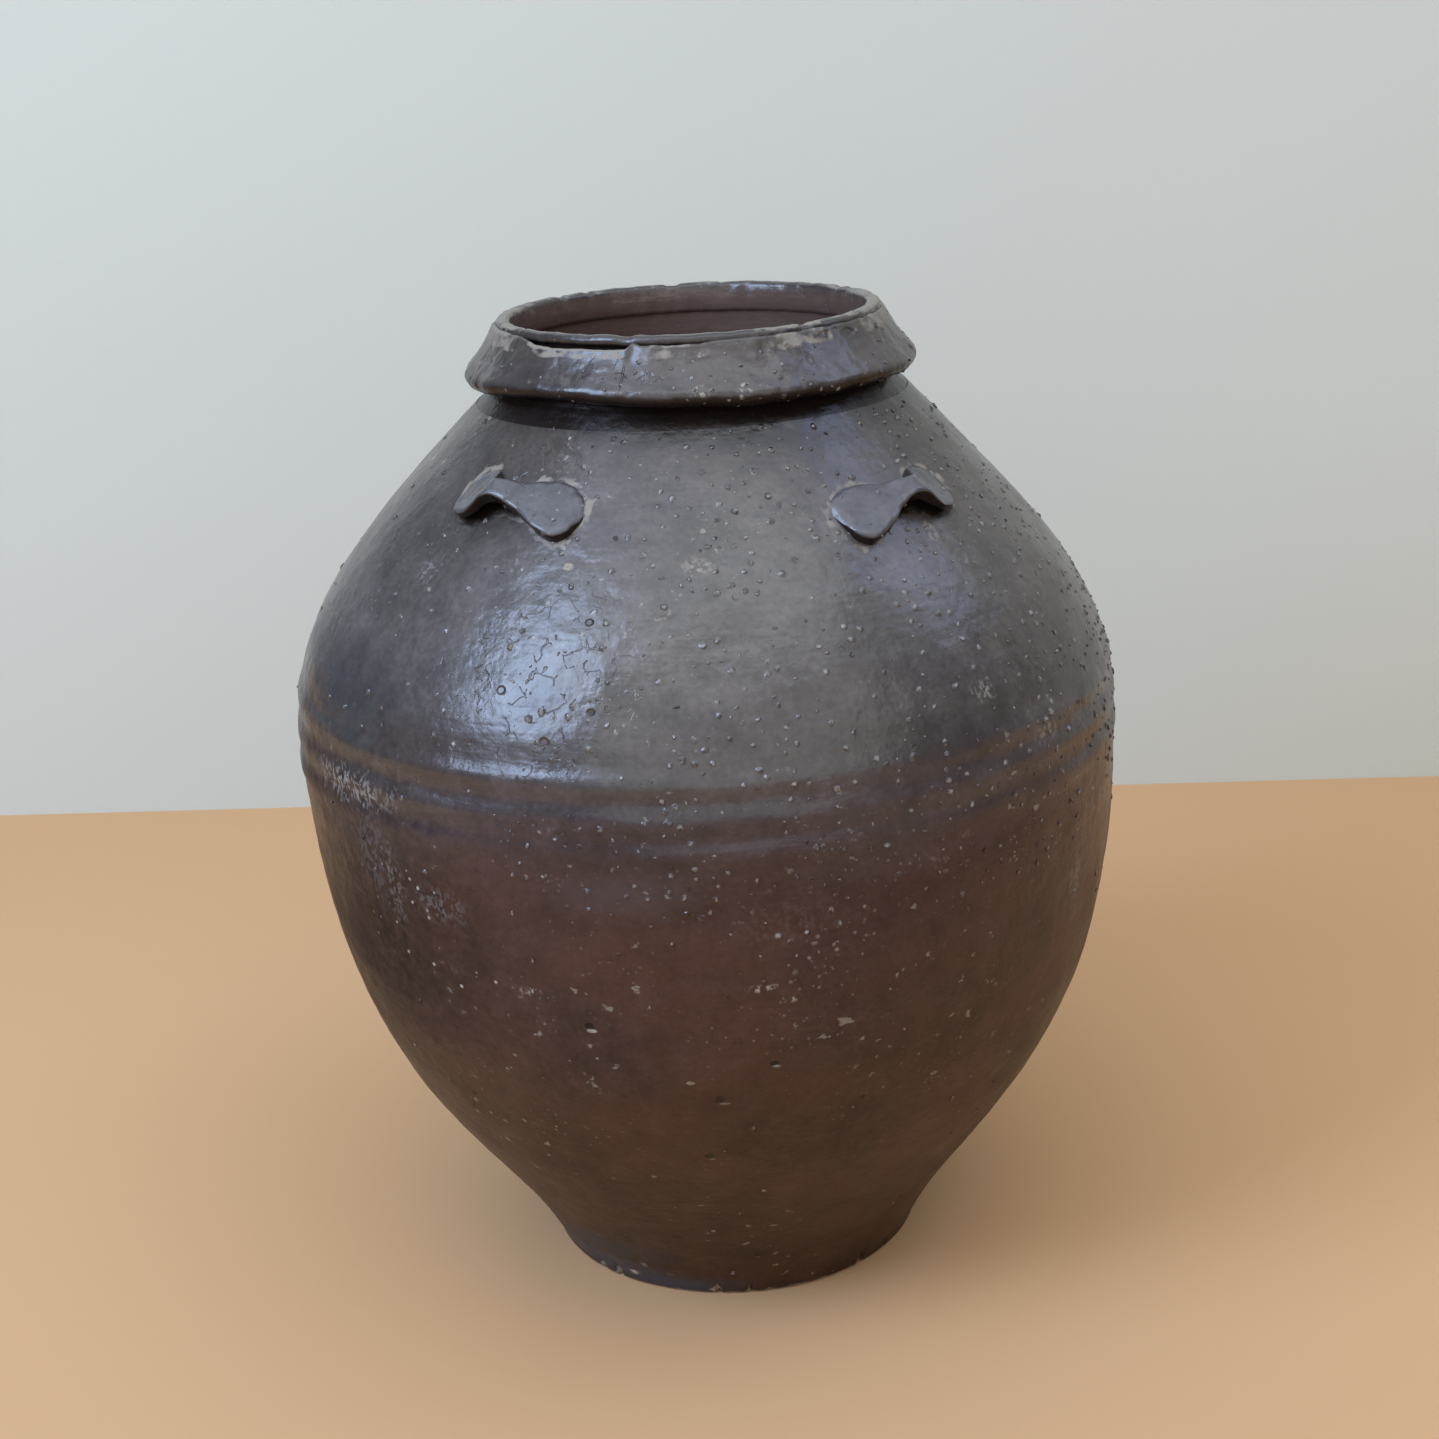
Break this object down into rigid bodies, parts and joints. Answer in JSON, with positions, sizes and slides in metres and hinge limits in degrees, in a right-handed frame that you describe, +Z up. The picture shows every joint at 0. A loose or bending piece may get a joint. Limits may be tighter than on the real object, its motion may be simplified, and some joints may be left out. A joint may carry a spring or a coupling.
{
  "type": "ceramic storage jar",
  "caption": "Stoneware storage jar with a wide ridged belly, sloping shoulder with arched cord lugs, and an overhanging collar round the mouth.",
  "frame": {"origin": "centre of the foot, on the surface that the jar stands on", "axes": "+Z up the jar's axis to the mouth, -Y the side that the two front lugs face"},
  "size_m": [0.2964, 0.2964, 0.35],
  "materials": {
    "iron_glaze": "semi-gloss iron-brown glaze with blebs, fine crackle and pale specks",
    "collar_glaze": "semi-gloss iron-brown glaze, thin at the edges",
    "worn_lip": "satin glaze worn to pale grey-buff clay",
    "bare_foot": "matt, thinly glazed stoneware with a chipped edge"
  },
  "bodies": {
    "root": {"foot_base": "bare_foot", "lower_wall": "iron_glaze", "belly_wall": "iron_glaze", "shoulder_wall": "iron_glaze", "neck_ring": "worn_lip", "collar_band": "collar_glaze", "lug_front_left": "iron_glaze", "lug_front_right": "iron_glaze", "lug_back_left": "iron_glaze", "lug_back_right": "iron_glaze"}
  },
  "joints": []
}
